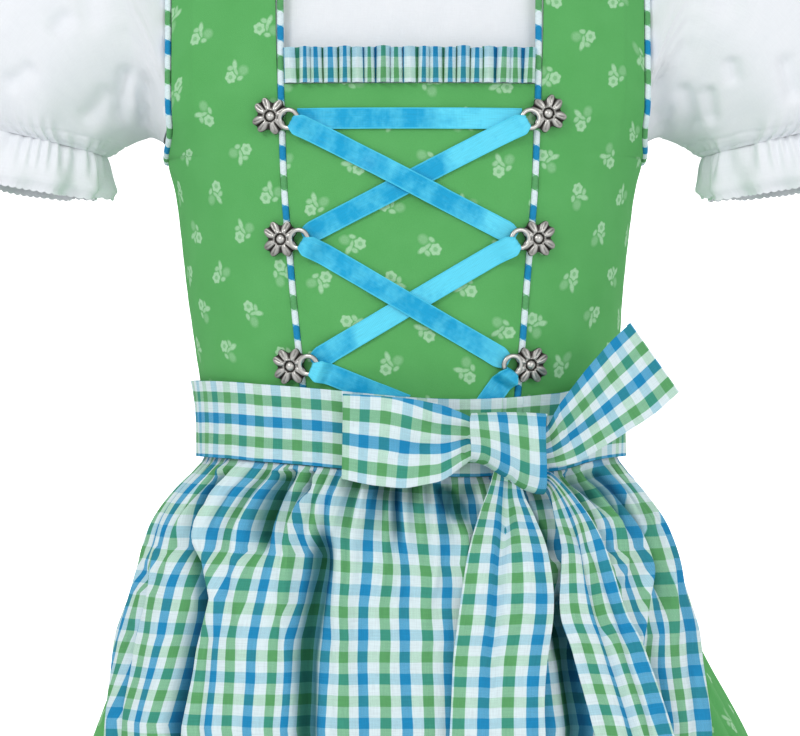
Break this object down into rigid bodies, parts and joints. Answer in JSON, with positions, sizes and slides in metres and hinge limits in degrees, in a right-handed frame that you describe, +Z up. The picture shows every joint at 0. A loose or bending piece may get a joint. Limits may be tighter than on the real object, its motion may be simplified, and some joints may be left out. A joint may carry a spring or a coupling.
{
  "type": "dirndl dress",
  "caption": "Child's dirndl set: laced dress with gathered skirt, check apron with a tied bow, and a white puff-sleeved blouse, hollow as worn.",
  "frame": {"origin": "middle of the shoulder line that carries the set, level with the highest point of the dress straps' figure", "axes": "+Z up along the body, the front faces -Y, +X to the wearer's left"},
  "size_m": [0.4794, 0.355, 0.624],
  "materials": {
    "flowered_cotton": "matte printed cotton",
    "check_cotton": "matte woven check",
    "check_piping": "matte bias-cut check",
    "white_cotton": "fine matte cotton",
    "satin_ribbon": "satin",
    "old_silver": "cast, antiqued"
  },
  "bodies": {
    "root": {"apron_band": "check_cotton", "apron_skirt": "check_cotton", "blouse_back": "white_cotton", "blouse_front": "white_cotton", "blouse_neck_binding": "white_cotton", "bodice_back_left": "flowered_cotton", "bodice_back_right": "flowered_cotton", "bodice_front_centre": "flowered_cotton", "bodice_front_side_left": "flowered_cotton", "bodice_front_side_right": "flowered_cotton", "bow_knot": "check_cotton", "bow_loop_left": "check_cotton", "bow_loop_right": "check_cotton", "bow_tail_front": "check_cotton", "bow_tail_side": "check_cotton", "hook_low_left": "old_silver", "hook_low_right": "old_silver", "hook_middle_left": "old_silver", "hook_middle_right": "old_silver", "hook_top_left": "old_silver", "hook_top_right": "old_silver", "lace_bar": "satin_ribbon", "lace_end_left": "satin_ribbon", "lace_end_right": "satin_ribbon", "lace_lower_over": "satin_ribbon", "lace_lower_under": "satin_ribbon", "lace_upper_over": "satin_ribbon", "lace_upper_under": "satin_ribbon", "neck_frill": "check_cotton", "piping_armhole_left": "check_piping", "piping_armhole_right": "check_piping", "piping_neck_left": "check_piping", "piping_neck_right": "check_piping", "skirt": "flowered_cotton", "sleeve_frill_left": "white_cotton", "sleeve_frill_right": "white_cotton", "sleeve_left": "white_cotton", "sleeve_right": "white_cotton", "tie_left": "check_cotton", "tie_right": "check_cotton"}
  },
  "joints": []
}
